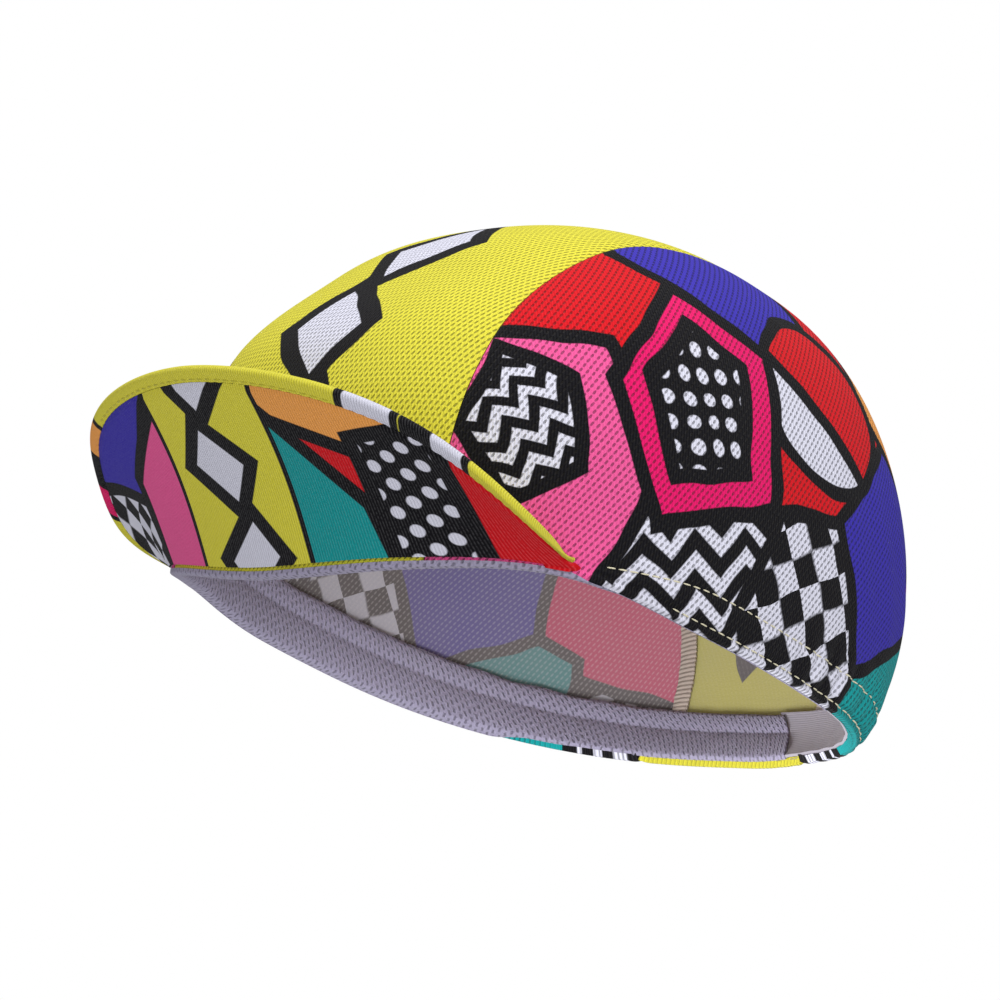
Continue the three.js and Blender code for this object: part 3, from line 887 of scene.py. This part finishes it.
class CAP_OT_crown_panels(bpy.types.Operator):
    """Models the centre panel and the two side panels of the crown"""

    bl_idname = "cap.crown_panels"
    bl_label = "Crown Panels"

    def execute(self, context):
        crown = Crown(context.scene.cap_crown)
        sewing = context.scene.cap_sewing
        strip_cloth = mesh_cloth("centre_strip_knit", strip_print)
        strip_inside = wrong_side("centre_strip_wrong_side", strip_print, shine_through=0.07)
        side_cloth = mesh_cloth("side_panel_knit", side_print)
        side_inside = wrong_side("side_panel_wrong_side", side_print, shine_through=0.26)
        self.centre(crown, sewing, [strip_cloth, strip_inside])
        for name, side in (("left_panel", 1), ("right_panel", -1)):
            self.side(crown, sewing, name, side, [side_cloth, side_inside])
        return {"FINISHED"}

    def sew(self, crown, sewing, points):
        """Moves points of the plain surface to where the sewn cloth lies."""
        out = crown.normal(points)
        off_seam = np.abs(np.abs(points[..., 0]) - crown.seam(points[..., 1]))
        off_seam = off_seam / np.sqrt(np.maximum(1 - out[..., 0] ** 2, 0.05))
        groove, groove_width = 0.5 * MM, 1.1 * MM
        off = lie_of_cloth(crown, sewing, points) - groove * bell(off_seam, groove_width)
        return points + out * off[..., None]

    def close(self, crown, made, index, points, materials, node):
        """Gives a panel its two faces and its wall, which is thicker in the turned hem."""
        s = crown.s
        above = crown.rim_place(points)[1]
        hem = fade(above, s.hem_height - 1 * MM, s.hem_height + 1 * MM)
        for material in materials:
            made.data.materials.append(material)
        thicken(made, s.hem, thin=s.cloth / s.hem, thickness=hem, index=index, inner_slot=1)
        slot = "yellow_cloth" if node == "centre_panel" else "printed_cloth"
        finish_piece(made, slot, [], node)

    def centre(self, crown, sewing, materials):
        """The strip, whose rows lie closer together towards both rims."""
        gap = 0.1 * MM / crown.s.strip
        shares = np.linspace(-1 + gap, 1 - gap, 97)
        rows = np.linspace(0, 1, 321)
        rows = (rows + (1 - np.cos(math.pi * rows)) / 2) / 2
        points = np.stack([crown.strip_line(t, len(rows), rows) for t in shares])
        across = distances(points, 0)
        across = across - across[len(shares) // 2]
        along = distances(points, 1)[len(shares) // 2] + 0 * across
        sewn = self.sew(crown, sewing, points)
        made, index = lay_sheet("crown_centre", sewn, across, along, crown.outwards)
        self.close(crown, made, index, points, materials, "centre_panel")

    def side(self, crown, sewing, name, side, materials):
        """A side panel, from the rim up to the strip's seam."""
        gap = 0.1 * MM / crown.s.strip
        columns, rows = 301, 121
        top = crown.strip_line(1 + gap, columns)
        top_angle = np.arctan2(top[:, 0], -top[:, 1])
        turns = np.linspace(top_angle[0], top_angle[-1], 1201)
        rim = crown.point(turns, crown.rim(turns))
        rim = even(np.column_stack([rim, turns]), columns)
        rim_angle = rim[:, 3]
        up = np.linspace(0, 1, rows)[None, :] ** 1.5
        angles = rim_angle[:, None] * (1 - up) + top_angle[:, None] * up
        heights = crown.rim(rim_angle)[:, None] * (1 - up) + top[:, 2:3] * up
        points = crown.point(angles, heights)
        across, along = flat_place(crown, angles, heights)
        points[..., 0] *= side
        sewn = self.sew(crown, sewing, points)
        title = name.replace("panel", "side")
        made, index = lay_sheet(title, sewn, across, along, crown.outwards)
        self.close(crown, made, index, points, materials, name)


def flat_place(crown, angles, heights):
    """Where points of a side panel lie on the flat cloth, from the middle of the panel's rim.

    Both distances are measured on a fine table of the surface and read from it."""
    turns = np.linspace(math.radians(12), math.radians(172), 321)
    levels = np.linspace(-14 * MM, crown.s.height * 0.97, 241)
    table = crown.point(turns[:, None], levels[None, :] + 0 * turns[:, None])
    across = distances(table, 0)
    middle = np.argmin(np.abs(turns - math.pi / 2))
    across = across - across[middle]
    along = distances(table, 1)
    base = np.argmin(np.abs(levels))
    along = along - along[:, base : base + 1]
    i = np.clip((angles - turns[0]) / (turns[1] - turns[0]), 0, len(turns) - 1.001)
    j = np.clip((heights - levels[0]) / (levels[1] - levels[0]), 0, len(levels) - 1.001)
    i0, j0 = i.astype(int), j.astype(int)
    a, b = i - i0, j - j0

    def read(values):
        low = values[i0, j0] * (1 - a) + values[i0 + 1, j0] * a
        high = values[i0, j0 + 1] * (1 - a) + values[i0 + 1, j0 + 1] * a
        return low * (1 - b) + high * b

    return read(across), read(along)


class CAP_OT_seam_tapes(bpy.types.Operator):
    """Models the tapes over the crown's seams, inside"""

    bl_idname = "cap.seam_tapes"
    bl_label = "Seam Tapes"

    def execute(self, context):
        crown = Crown(context.scene.cap_crown)
        bands = context.scene.cap_bands
        cloth = tape_cloth()
        under = crown.s.cloth + bands.clearance + bands.tape_wall
        half = bands.tape / 2 / crown.s.strip
        columns = 13
        middle = columns // 2
        span = np.linspace(-1, 1, columns)[:, None]
        for name, side in (("left_seam_tape", 1), ("right_seam_tape", -1)):
            shares = side * np.linspace(1 - half, 1 + half, columns)
            points = np.stack([crown.strip_line(t, 261) for t in shares])
            out = crown.normal(points)
            angles, above = crown.rim_place(points)
            hump = 0.3 * MM * (1 - span**2)
            ripple = wobble(distances(points, 1), seed=11, pitch=6 * MM)
            pucker = 0.2 * MM * ripple * np.abs(span)
            bulge = ease_of_cloth(context.scene.cap_sewing, angles, above)
            points = points - out * (under + hump + pucker - bulge)[..., None]
            points = points[:, above[middle] > bands.elastic_top - 1.5 * MM]
            across = distances(points, 0) - bands.tape / 2
            along = distances(points, 1)
            along = along / along[:, -1:] * along[middle, -1]
            made, _ = lay_sheet(name + "_cloth", points, across, along, head_side)
            thicken(made, bands.tape_wall * 0.8)
            finish_piece(made, "seam_tape", [cloth], name)
        return {"FINISHED"}


def head_side(place):
    """The direction towards the middle of the head."""
    return np.array([0, 0, 30 * MM]) - place


def band_place(crown, hem, angles, above, depth):
    """A point inside the rim, at a height over the rim's edge and a depth in from the hem."""
    heights = crown.rim(angles) + above
    base = crown.point(angles, heights)
    bulge = ease_of_cloth(bpy.context.scene.cap_sewing, angles, above)
    return base - crown.normal(base) * (hem + depth - bulge)[..., None]


# Rows of points in the sweatband's roll under the rim's edge.
LIP_ROWS = 9
# Between the sweatband's ends and the elastic, as an angle round the rim in radians.
END_GAP = 0.004


class CAP_OT_sweatband(bpy.types.Operator):
    """Models the knitted sweatband in its two padded rows, rolled under the rim's edge"""

    bl_idname = "cap.sweatband"
    bl_label = "Sweatband"

    def execute(self, context):
        scene = context.scene
        crown = Crown(scene.cap_crown)
        bands = scene.cap_bands
        up = np.linspace(0, 1, 33)
        lean = bands.end_lean * (2 * up - 1)
        far_end = bands.elastic_to - 2 * math.pi + END_GAP
        part = np.linspace(0, 1, 861)[:, None]
        start = far_end + lean[None, :]
        angles = start + (bands.elastic_from - start) * part
        above, depth = self.padded_rows(crown, bands, up, angles)
        lip = self.lip(scene, bands, angles[:, :1])
        angles, above, depth = (
            np.concatenate(pair, 1) for pair in zip(lip, (angles, above, depth))
        )
        points = band_place(crown, crown.s.hem + bands.clearance, angles, above, depth)
        across = distances(points, 0)[:, -1:] + 0 * above
        along = distances(points, 1)
        along = along - along[:, LIP_ROWS : LIP_ROWS + 1]
        made, _ = lay_sheet("sweatband_cloth", points, across, along, head_side)
        thicken(made, wall=0.5 * MM)
        finish_piece(made, "grey_knit", [knit_cloth()], "sweatband")
        return {"FINISHED"}

    def padded_rows(self, crown, bands, up, angles):
        """Height over the rim's edge and depth in from the hem, over the two padded rows."""
        heights = bands.bottom + (bands.top - bands.bottom) * up
        split = (bands.groove - bands.bottom) / (bands.top - bands.bottom)
        row = np.where(up < split, up / split, (up - split) / (1 - split))
        swell = np.sin(math.pi * np.clip(row, 0.02, 0.98)) ** 0.5
        wall = bands.thin + (bands.padding - bands.thin) * swell
        above = heights[None, :] + 0 * angles
        around = angles * crown.s.half_width
        lumps = 0.22 * MM * wobble(around, seed=21, pitch=17 * MM)
        lumps = lumps + 0.16 * MM * wobble(around + above * 3, seed=8, pitch=7 * MM)
        depth = wall[None, :] + lumps * swell[None, :]
        top_edge = ease(up, 0.93, 1)
        waver = 0.35 * MM * wobble(around, seed=33, pitch=23 * MM)
        above = above + waver * top_edge[None, :]
        return above, depth - 0.7 * MM * top_edge[None, :]

    def lip(self, scene, bands, angles):
        """The roll from the hem's outside, under the rim's edge and up to the padded rows."""
        outside = -(scene.cap_crown.hem + bands.clearance)
        corner = scene.cap_peak.corner
        at_peak = fade(np.abs(angles), corner - 0.03, corner + 0.06)
        left = ease(angles, bands.lip_left, bands.lip_left + math.radians(5))
        right = ease(-angles, bands.lip_right, bands.lip_right + math.radians(8))
        rolled = 1 - np.maximum(left, right)
        turns = np.linspace(0, 1, LIP_ROWS)[None, :]
        under = ease(turns, 0, 0.35)
        high = 1.2 * MM * at_peak - bands.lip * 0.4
        above = high * (1 - under) - bands.lip * under
        above = above + bands.lip * 0.6 * ease(turns, 0.7, 1.1)
        set_in = 0.35 * MM * (1 - at_peak) - 0.3 * MM * at_peak
        depth = outside * fade(turns, 0.2, 1) + set_in * (1 - turns)
        depth = depth + bands.thin * 0.6 * ease(turns, 0.6, 1)
        above = above * rolled + bands.bottom * 0.5 * (1 - rolled)
        depth = depth * rolled + bands.thin * turns * 0.6 * (1 - rolled)
        return angles + 0 * turns, above, depth


class CAP_OT_back_elastic(bpy.types.Operator):
    """Models the woven elastic between the sweatband's ends"""

    bl_idname = "cap.back_elastic"
    bl_label = "Back Elastic"

    def execute(self, context):
        crown = Crown(context.scene.cap_crown)
        bands = context.scene.cap_bands
        part = np.linspace(0, 1, 181)[:, None]
        up = np.linspace(0, 1, 25)[None, :]
        overlap = 0.02
        end = bands.elastic_to + bands.end_lean * (2 * up - 1) + overlap
        angles = bands.elastic_from + END_GAP + (end - bands.elastic_from) * part
        above = bands.bottom + (bands.elastic_top - bands.bottom) * up + 0 * part
        around = angles * crown.s.half_width
        depth = bands.elastic_wall + 0.2 * MM * wobble(around, seed=17, pitch=12 * MM)
        points = band_place(crown, crown.s.hem + bands.clearance, angles, above, depth)
        made, _ = lay_sheet("elastic_band", points, distances(points, 0), above, head_side)
        thicken(made, bands.elastic_wall * 0.7)
        finish_piece(made, "grey_elastic", [elastic_cloth()], "back_elastic")
        return {"FINISHED"}


def upwards(place):
    """The outward direction of the peak's upper cover."""
    return (0, 0, 1)


def downwards(place):
    """The outward direction of the peak's under cover."""
    return (0, 0, -1)


class Peak:
    """The peak's middle layer, as straight lines from the crown's seam to the edge.

    Ahead is each line's share of the peak's length: 1 at the tip, and near 0 at the corners."""

    def __init__(self, crown, sizes):
        self.p = sizes
        self.crown = crown
        corner = self.seam_point(np.array([sizes.corner]))[0]
        end = 0.05
        turns = np.linspace(-math.acos(end), math.acos(end), 1601)
        ahead = np.cos(turns)
        across = np.sign(turns) * (1 - ahead**sizes.bluntness) ** sizes.fullness
        spread = bell(ahead - sizes.flare_place, sizes.flare_reach)
        spread -= bell(end - sizes.flare_place, sizes.flare_reach) * (1 - ahead) ** 2
        x = corner[0] * across + np.sign(turns) * sizes.flare * spread
        y = corner[1] - sizes.forward * ahead
        z = corner[2] + sizes.rise * ahead - sizes.droop * spread
        seam_turn = np.arcsin(np.clip(across, -1, 1)) / (math.pi / 2) * sizes.corner
        lines = even(np.column_stack([x, y, z, seam_turn, ahead]), 401)
        self.outer = lines[:, :3]
        self.inner = self.seam_point(lines[:, 3])
        self.ahead = lines[:, 4]
        self.around = distances(self.outer, 0)
        self.around = self.around - self.around[-1] / 2
        run = self.outer - self.inner
        self.length = np.linalg.norm(run, axis=1)
        self.run = run / self.length[:, None]
        self.up = unit(np.cross(self.run, np.gradient(self.inner + self.outer, axis=0)))

    def roll(self):
        """How far the upper cover reaches onto the underside, along the edge."""
        width = self.p.rolled + self.p.rolled_lean * self.around / self.around[-1]
        return np.minimum(width, self.length * 0.6)

    def seam_point(self, turns):
        """Where the peak is sewn to the crown, at angles round the rim."""
        return self.crown.point(turns, self.crown.rim(turns) + self.p.seam_height)

    def place(self, out, off):
        """Points at distances out along the lines and off the middle layer."""
        part = np.clip(out / self.length[:, None], 0, 1)
        bow = self.p.camber * self.ahead[:, None] * np.sin(math.pi * part)
        on_line = self.inner[:, None] + self.run[:, None] * out[..., None]
        return on_line + self.up[:, None] * (off + bow)[..., None]


class CAP_OT_peak_covers(bpy.types.Operator):
    """Models the peak's upper cover with its rolled edge, and its under cover"""

    bl_idname = "cap.peak_covers"
    bl_label = "Peak Covers"

    def execute(self, context):
        scene = context.scene
        peak = Peak(Crown(scene.cap_crown), scene.cap_peak)
        self.top(peak)
        self.under(peak)
        return {"FINISHED"}

    def top(self, peak):
        """The upper cover: the flat, the turn round the edge and the roll on the underside."""
        half = peak.p.thickness / 2
        length = peak.length[:, None]
        roll = peak.roll()[:, None]
        reach = np.minimum(half, length / 3)
        flat_part = np.linspace(0, 1, 49)[None, :]
        turns = np.linspace(0, math.pi, 17)[None, 1:]
        under_part = np.linspace(0, 1, 13)[None, 1:]
        flat_out = (length - reach) * flat_part
        turn_out = length - reach + reach * np.sin(turns)
        under_out = length - reach - (roll - reach) * under_part
        out = np.concatenate([flat_out, turn_out, under_out], 1)
        along_edge = distances(peak.outer, 0)[:, None]
        stitch, groove, groove_width = 3.0 * MM, 0.45 * MM, 1.0 * MM
        pucker = 0.12 * MM * np.sin(along_edge / stitch * 2 * math.pi)
        sewn_in = (groove + pucker) * bell((under_part - 1) * (roll - reach), groove_width)
        off = np.concatenate(
            [half + 0 * flat_out, half * np.cos(turns) + 0 * turn_out, sewn_in - half], 1
        )
        out = self.hug_crown(peak, out, off)
        points = peak.place(out, off)
        across = peak.around[:, None] + 0 * out
        along = distances(points, 1)
        edge = flat_part.shape[1] + turns.shape[1] // 2 - 1
        along = along - along[:, edge : edge + 1]
        made, _ = lay_sheet("peak_top", points, across, along, upwards)
        thicken(made, wall=0.9 * MM)
        cloth = ribbed_cloth("peak_top_cloth", edge_print)
        finish_piece(made, "yellow_cloth", [cloth], "peak_top_cover")

    def under(self, peak):
        """The under cover, whose end lies under the roll's."""
        length = peak.length[:, None]
        roll = peak.roll()[:, None]
        part = np.linspace(0, 1, 65)[None, :]
        out = (length - roll - 0.1 * MM) * part
        off = -peak.p.thickness / 2 + 0 * out
        off += 0.5 * MM * bell((1 - part) * (length - roll), 1.0 * MM)
        points = peak.place(self.hug_crown(peak, out, off), off)
        along = distances(points, 1)
        made, _ = lay_sheet("peak_under", points, points[..., 0], along, downwards)
        thicken(made, wall=0.8 * MM)
        cloth = ribbed_cloth("peak_under_cloth", underside_print)
        finish_piece(made, "printed_cloth", [cloth], "peak_under_cover")

    def hug_crown(self, peak, out, off):
        """Starts each line outside the crown's face, for the cover and for the middle layer."""
        tries = np.linspace(0, 8 * MM, 41)
        clear = 0.002
        start = 0
        for side in (off[:, :1], 0 * off[:, :1]):
            level = peak.crown.level(peak.place(tries + 0 * side, side + 0 * tries))
            start = np.maximum(start, tries[np.argmax(level > clear, axis=1)])
        return np.maximum(out, np.minimum(start, peak.length * 0.5)[:, None])


def point_at(steps, line, place):
    """The point of a line at a distance along it."""
    return np.array([np.interp(place, steps, line[:, axis]) for axis in range(3)])


def stitch_rows(name, lines, normals, sewing, material, slot):
    """Rows of stitches along lines, one modelled stitch copied along them into one mesh."""
    select_only()
    bpy.ops.mesh.primitive_uv_sphere_add(segments=8, ring_count=6, radius=0.5)
    made = bpy.context.object
    made.name = name
    mesh = made.data
    base = np.empty(len(mesh.vertices) * 3)
    mesh.vertices.foreach_get("co", base)
    base = base.reshape(-1, 3)[:, [2, 0, 1]]
    base[:, 0] = np.sign(base[:, 0]) * np.abs(base[:, 0]) ** 0.75 * 0.5**0.25
    arch = 0.12 * MM * (1 - (base[:, 0] * 2) ** 2)
    shaped = base * [sewing.stitch, sewing.thread, sewing.thread]
    shaped[:, 2] += arch
    faces = [tuple(f.vertices) for f in mesh.polygons]
    corners, sides = [], []
    step = 0.5 * MM
    for line, normal in zip(lines, normals):
        steps = distances(line, 0)
        for number in range(int(steps[-1] / sewing.pitch)):
            middle = (number + 0.5) * sewing.pitch
            before, after = (point_at(steps, line, middle + d) for d in (-step, step))
            ahead = unit(after - before)
            out = point_at(steps, normal, middle)
            out = unit(out - ahead * out.dot(ahead))
            first = len(corners) * len(base)
            turned = shaped @ np.stack([ahead, np.cross(out, ahead), out])
            corners.append(point_at(steps, line, middle) + turned)
            sides += [tuple(v + first for v in face) for face in faces]
    mesh.clear_geometry()
    mesh.from_pydata(np.concatenate(corners).tolist(), [], sides)
    mesh.update()
    select_only(made)
    bpy.ops.object.shade_smooth()
    return finish_piece(made, slot, [material])


class CAP_OT_stitching(bpy.types.Operator):
    """Sews the rows of stitches in the hem and along the peak's rolled edge"""

    bl_idname = "cap.stitching"
    bl_label = "Stitching"

    def execute(self, context):
        scene = context.scene
        crown = Crown(scene.cap_crown)
        sewing = scene.cap_sewing
        lines, normals = [], []
        # Both rows run round the back, between angles on either side of the peak.
        for start, is_upper in ((56, True), (68, False)):
            turns = np.radians(np.linspace(start, 360 - start, 2401))
            signed = (turns + math.pi) % (2 * math.pi) - math.pi
            above = upper_row_height(sewing, signed) if is_upper else sewing.lower_row
            plain = crown.point(turns, crown.rim(turns) + above)
            out = crown.normal(plain)
            off = lie_of_cloth(crown, sewing, plain) + 0.1 * MM
            lines.append(plain + out * off[:, None])
            normals.append(out)
        cream = thread_yarn("hem_thread", scene.cap_colours.thread)
        stitch_rows("hem_stitches", lines, normals, sewing, cream, "yellow_cloth")
        self.peak_row(scene, crown)
        return {"FINISHED"}

    def peak_row(self, scene, crown):
        """The row beside the roll's end, on the peak's underside."""
        peak = Peak(crown, scene.cap_peak)
        out = (peak.length - peak.roll() + 0.9 * MM)[:, None]
        off = 0 * out - peak.p.thickness / 2 + 0.25 * MM
        line = peak.place(out, off)[:, 0]
        sewn = np.abs(peak.around) < 50 * MM
        thread = thread_yarn("peak_thread", darker(scene.cap_colours.yellow, 0.72))
        stitch_rows(
            "peak_stitches", [line[sewn]], [-peak.up[sewn]], scene.cap_sewing, thread, "yellow_cloth"
        )


class CAP_OT_stage(bpy.types.Operator):
    """Sets the floor, the lights and the camera"""

    bl_idname = "cap.stage"
    bl_label = "Stage"

    def execute(self, context):
        self.floor()
        self.lights()
        self.camera(context.scene)
        context.scene.view_settings.view_transform = "Standard"
        return {"FINISHED"}

    def floor(self):
        """A pale floor, well under the cap."""
        select_only()
        bpy.ops.mesh.primitive_plane_add(size=8, location=(0, 0, -0.6))
        floor = bpy.context.object
        floor.name = "floor"
        shader = Shader("pale_floor")
        place = shader.node("ShaderNodeTexCoord", output=3)
        shade = shader.mix(shader.noise(place, 3.0, 2), (0.74, 0.74, 0.74), (0.78, 0.78, 0.78))
        shader.tree.links.new(shade.socket, shader.surface.inputs["Base Color"])
        shader.surface.inputs["Roughness"].default_value = 0.9
        floor.data.materials.append(shader.material)

    def lights(self):
        """A white studio, whose light on the cap is softer than its walls look."""
        world = bpy.data.worlds.new("studio")
        bpy.context.scene.world = world
        world.use_nodes = True
        nodes, links = world.node_tree.nodes, world.node_tree.links
        either = nodes.new("ShaderNodeMixShader")
        seen = nodes.new("ShaderNodeLightPath")
        links.new(seen.outputs["Is Camera Ray"], either.inputs[0])
        for number, wall, strength in (
            (1, nodes["Background"], 0.38),
            (2, nodes.new("ShaderNodeBackground"), 1.0),
        ):
            wall.inputs["Color"].default_value = (1, 1, 1, 1)
            wall.inputs["Strength"].default_value = strength
            links.new(wall.outputs[0], either.inputs[number])
        links.new(either.outputs[0], nodes["World Output"].inputs["Surface"])
        # Each light's name, place, direction, size in metres and power in watts.
        for name, place, facing, size, power in (
            ("key", (-0.2, -0.9, 1.6), (0.2, 0.9, -1.6), 1.3, 28),
            ("side", (1.5, -0.4, 0.7), (-1.5, 0.4, -0.7), 1.0, 13),
            ("fill", (1.0, -0.8, -0.35), (-1.0, 0.8, 0.35), 0.7, 3),
            ("inside", (0.04, -0.01, -0.08), (-0.28, 0.9, 0.35), 0.05, 0.18),
        ):
            bpy.ops.object.light_add(type="AREA", location=place)
            light = bpy.context.object
            light.name = name
            light.data.size = size
            light.data.energy = power
            light.rotation_euler = Vector(facing).to_track_quat("-Z", "Y").to_euler()
            light.visible_camera = False

    def camera(self, scene):
        """The photo's camera, which looks up at the cap from the front on the wearer's left."""
        azimuth, elevation, roll = (math.radians(a) for a in (49.92, -16.85, 16.18))
        aim = Vector((-8.0, -17.9, 41.7)) * MM
        distance, lens, sensor_width = 0.9, 120.58, 36
        ahead = Vector((math.sin(azimuth), -math.cos(azimuth), 0))
        back = ahead * math.cos(elevation) + Vector((0, 0, math.sin(elevation)))
        right = Vector((math.cos(azimuth), math.sin(azimuth), 0))
        up = back.cross(right)
        turned_right = right * math.cos(roll) + up * math.sin(roll)
        turned_up = up * math.cos(roll) - right * math.sin(roll)
        bpy.ops.object.camera_add(location=aim + back * distance)
        camera = bpy.context.object
        camera.rotation_euler = Matrix((turned_right, turned_up, back)).transposed().to_euler()
        camera.data.lens = lens
        camera.data.sensor_width = sensor_width
        scene.camera = camera


class CAP_PT_panel(bpy.types.Panel):
    """Lists the steps that build the cap, and its sizes and colours"""

    bl_idname = "CAP_PT_panel"
    bl_label = "Cycling Cap"
    bl_space_type = "VIEW_3D"
    bl_region_type = "UI"
    bl_category = "Cycling Cap"

    def draw(self, context):
        for step in STEPS:
            self.layout.operator("cap." + step)
        for name in SETTINGS:
            group = getattr(context.scene, name)
            for prop in group.bl_rna.properties:
                if prop.identifier not in ("rna_type", "name"):
                    self.layout.prop(group, prop.identifier)


SETTINGS = {
    "cap_crown": CapCrownSizes,
    "cap_peak": CapPeakSizes,
    "cap_bands": CapBandSizes,
    "cap_sewing": CapSewingSizes,
    "cap_colours": CapColours,
}
STEPS = (
    "crown_panels",
    "seam_tapes",
    "peak_covers",
    "sweatband",
    "back_elastic",
    "stitching",
    "stage",
)
CLASSES = (
    *SETTINGS.values(),
    CAP_OT_crown_panels,
    CAP_OT_seam_tapes,
    CAP_OT_peak_covers,
    CAP_OT_sweatband,
    CAP_OT_back_elastic,
    CAP_OT_stitching,
    CAP_OT_stage,
    CAP_PT_panel,
)


def register():
    for cls in CLASSES:
        bpy.utils.register_class(cls)
    for name, group in SETTINGS.items():
        setattr(bpy.types.Scene, name, PointerProperty(type=group))


def unregister():
    for name in SETTINGS:
        delattr(bpy.types.Scene, name)
    for cls in reversed(CLASSES):
        bpy.utils.unregister_class(cls)


def main():
    """Builds the cap and its stage."""
    register()
    for step in STEPS:
        getattr(bpy.ops.cap, step)()


if __name__ == "__main__":
    main()
